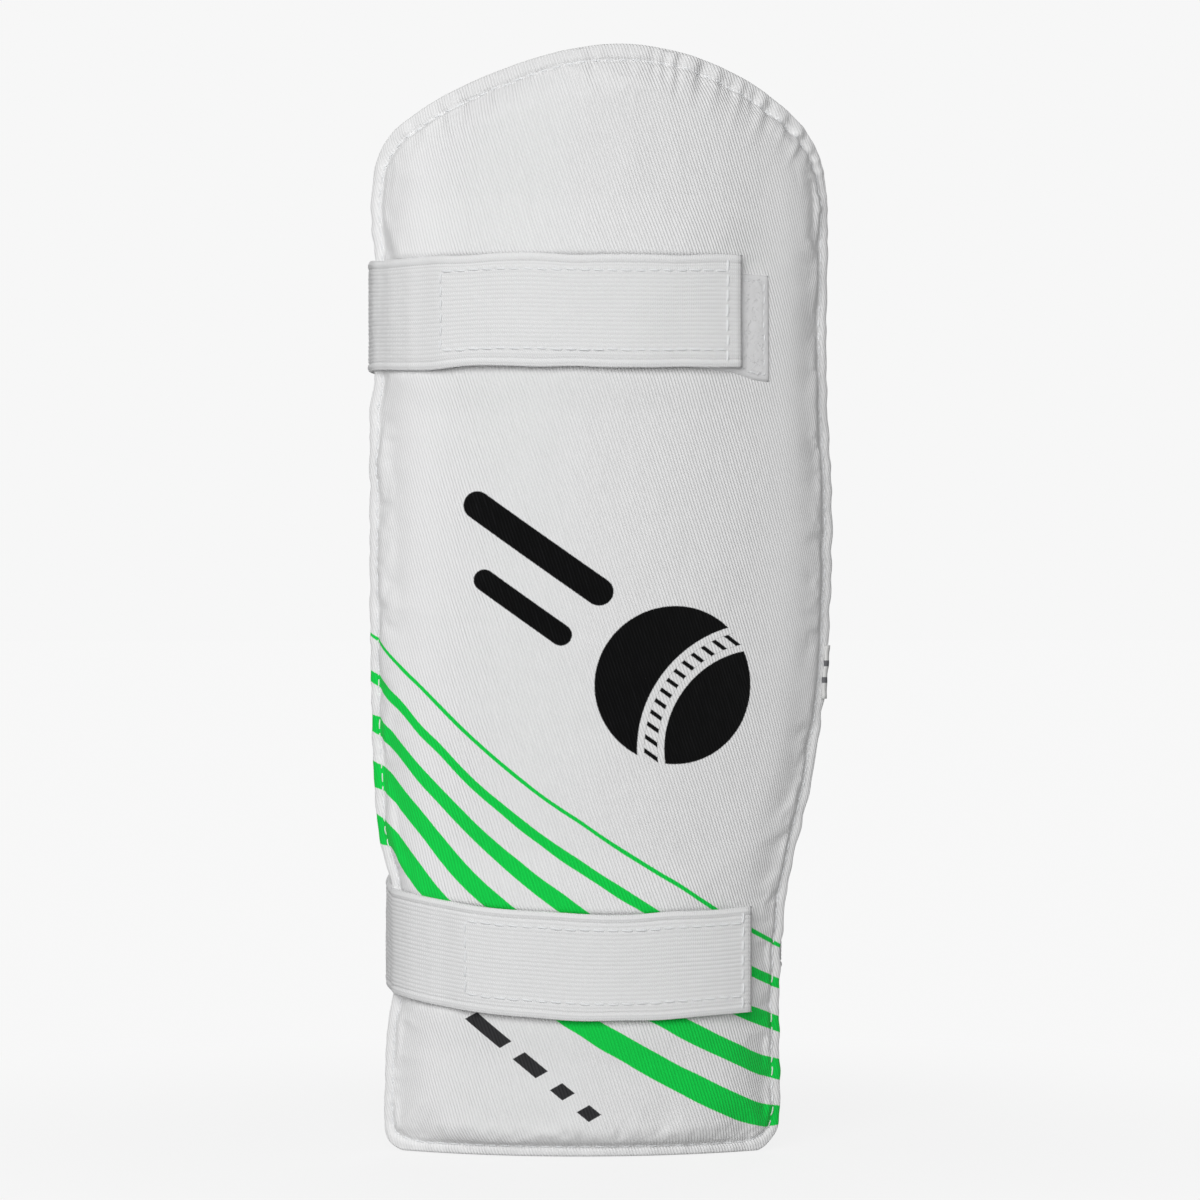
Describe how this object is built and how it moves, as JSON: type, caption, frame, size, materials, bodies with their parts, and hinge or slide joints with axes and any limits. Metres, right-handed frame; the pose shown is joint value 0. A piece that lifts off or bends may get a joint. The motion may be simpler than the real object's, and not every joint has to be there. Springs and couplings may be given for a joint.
{
  "type": "cricket forearm guard",
  "caption": "Curved padded forearm guard with a domed elbow end, sewn hem and elastic straps that close on the front with hook-and-loop.",
  "frame": {"origin": "centre of the whole object's plan box, at the height of the wrist end's hem", "axes": "+Z along the forearm from wrist end to elbow end, -Y out of the printed front, +X to the right as seen from the front"},
  "size_m": [0.125, 0.086, 0.295],
  "materials": {
    "cover_fabric": "woven twill, matt",
    "impact_foam": "closed-cell foam, matt",
    "soft_foam": "open-cell foam, matt",
    "towel_lining": "looped towelling",
    "thread": "polyester thread",
    "label_cloth": "woven ribbon",
    "loop_cloth": "brushed loop pile",
    "elastic": "ribbed knitted elastic",
    "hook_tape": "moulded hooks on tape"
  },
  "bodies": {
    "pad": {"front_cover": "cover_fabric", "outer_foam": "impact_foam", "inner_foam": "soft_foam", "back_lining": "towel_lining", "perimeter_stitch": "thread", "side_label": "label_cloth", "upper_loop_patch": "loop_cloth", "lower_loop_patch": "loop_cloth", "upper_loop_stitch": "thread", "lower_loop_stitch": "thread", "upper_strap_back": "elastic", "lower_strap_back": "elastic", "upper_anchor_stitch": "thread", "lower_anchor_stitch": "thread"},
    "upper_strap_root": {"upper_strap_front": "elastic"},
    "upper_strap_end": {"upper_strap_tip": "elastic", "upper_hook_patch": "hook_tape", "upper_box_stitch": "thread"},
    "lower_strap_root": {"lower_strap_front": "elastic"},
    "lower_strap_end": {"lower_strap_tip": "elastic", "lower_hook_patch": "hook_tape", "lower_box_stitch": "thread"}
  },
  "joints": [
    {"name": "upper_strap_swing", "type": "hinge", "parent": "pad", "child": "upper_strap_root", "pos_m": [-0.06143, -0.01749, 0.2242], "axis": [0, 0, -1], "range_deg": [0, 150]},
    {"name": "upper_tip_peel", "type": "hinge", "parent": "upper_strap_root", "child": "upper_strap_end", "pos_m": [-0.04599, -0.03175, 0.2242], "axis": [0, 0, -1], "range_deg": [0, 90]},
    {"name": "lower_strap_swing", "type": "hinge", "parent": "pad", "child": "lower_strap_root", "pos_m": [-0.05698, -0.02068, 0.054], "axis": [0, 0, -1], "range_deg": [0, 150]},
    {"name": "lower_tip_peel", "type": "hinge", "parent": "lower_strap_root", "child": "lower_strap_end", "pos_m": [-0.0397, -0.03472, 0.054], "axis": [0, 0, -1], "range_deg": [0, 90]}
  ]
}
